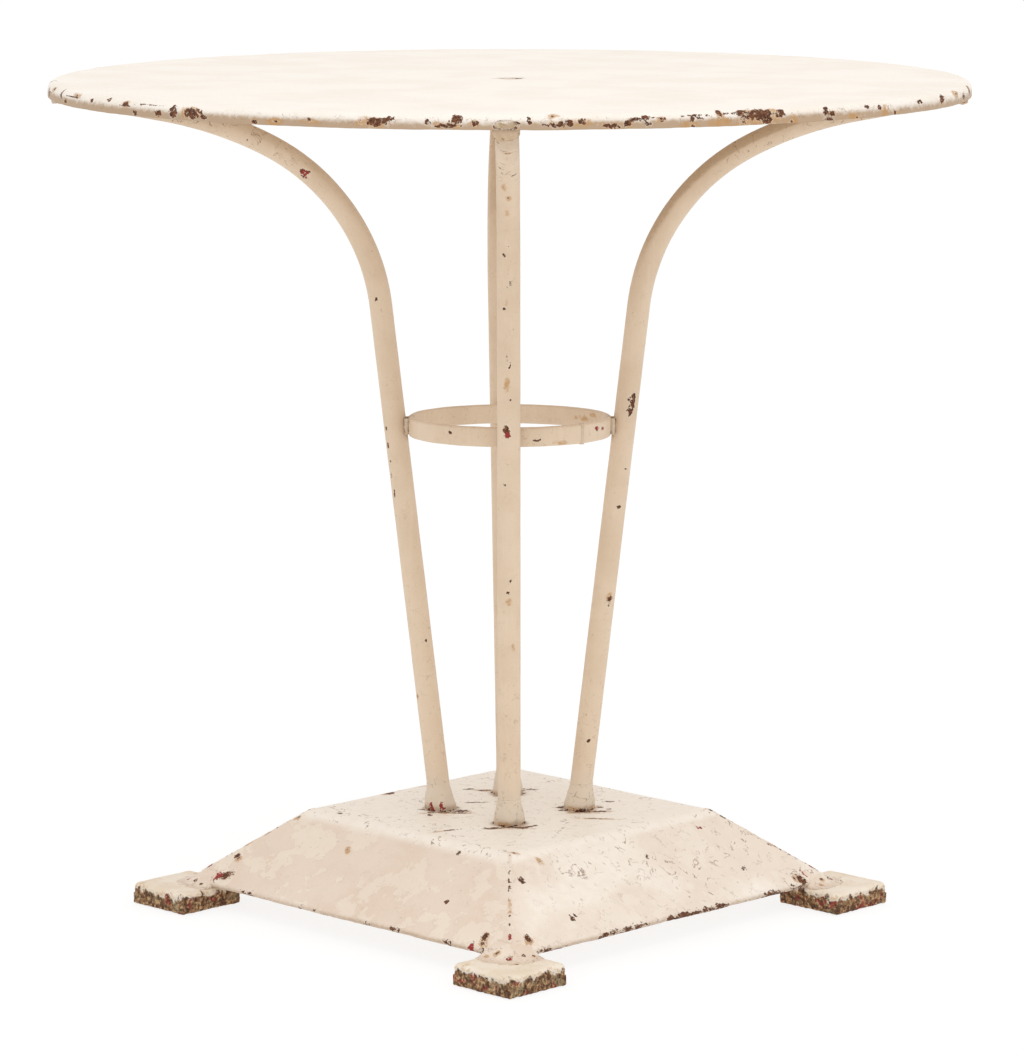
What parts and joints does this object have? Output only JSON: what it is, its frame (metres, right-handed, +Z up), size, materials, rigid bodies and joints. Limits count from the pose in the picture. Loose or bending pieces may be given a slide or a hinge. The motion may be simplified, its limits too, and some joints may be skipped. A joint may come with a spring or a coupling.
{
  "type": "bistro table",
  "caption": "Round garden bistro table with a sheet steel top, bent tube legs tied by a flat ring, and a pyramid base of folded sheet on square foot pads.",
  "frame": {"origin": "on the floor under the middle of the table", "axes": "+Z up; +X and +Y along the sides of the square base, so that the four legs lie on its diagonals"},
  "size_m": [0.8, 0.8, 0.7357],
  "materials": {
    "top_paint": "brushed cream paint, satin, chipped to rust around the rim",
    "leg_paint": "cream paint, satin, with small chips and fine cracks",
    "base_paint": "cream paint in crackled layers, rusty along the lower edge and at the welds",
    "pad_rust": "rust with remains of cream and red paint"
  },
  "bodies": {
    "root": {"table_top": "top_paint", "rim_plug_weld_front_right": "top_paint", "rim_plug_weld_back_right": "top_paint", "rim_plug_weld_back_left": "top_paint", "rim_plug_weld_front_left": "top_paint", "leg_front_right": "leg_paint", "leg_back_right": "leg_paint", "leg_back_left": "leg_paint", "leg_front_left": "leg_paint", "leg_end_weld_front_right": "leg_paint", "leg_end_weld_back_right": "leg_paint", "leg_end_weld_back_left": "leg_paint", "leg_end_weld_front_left": "leg_paint", "leg_foot_weld_front_right": "leg_paint", "leg_foot_weld_back_right": "leg_paint", "leg_foot_weld_back_left": "leg_paint", "leg_foot_weld_front_left": "leg_paint", "ring_stretcher": "leg_paint", "ring_closing_weld": "leg_paint", "leg_ring_weld_front_right_a": "leg_paint", "leg_ring_weld_front_right_b": "leg_paint", "leg_ring_weld_back_right_a": "leg_paint", "leg_ring_weld_back_right_b": "leg_paint", "leg_ring_weld_back_left_a": "leg_paint", "leg_ring_weld_back_left_b": "leg_paint", "leg_ring_weld_front_left_a": "leg_paint", "leg_ring_weld_front_left_b": "leg_paint", "base_shell": "base_paint", "base_corner_seam_front_right": "base_paint", "base_corner_seam_back_right": "base_paint", "base_corner_seam_back_left": "base_paint", "base_corner_seam_front_left": "base_paint", "foot_pad_front_right": "pad_rust", "foot_pad_back_right": "pad_rust", "foot_pad_back_left": "pad_rust", "foot_pad_front_left": "pad_rust", "pad_weld_front_right": "base_paint", "pad_weld_back_right": "base_paint", "pad_weld_back_left": "base_paint", "pad_weld_front_left": "base_paint"}
  },
  "joints": []
}
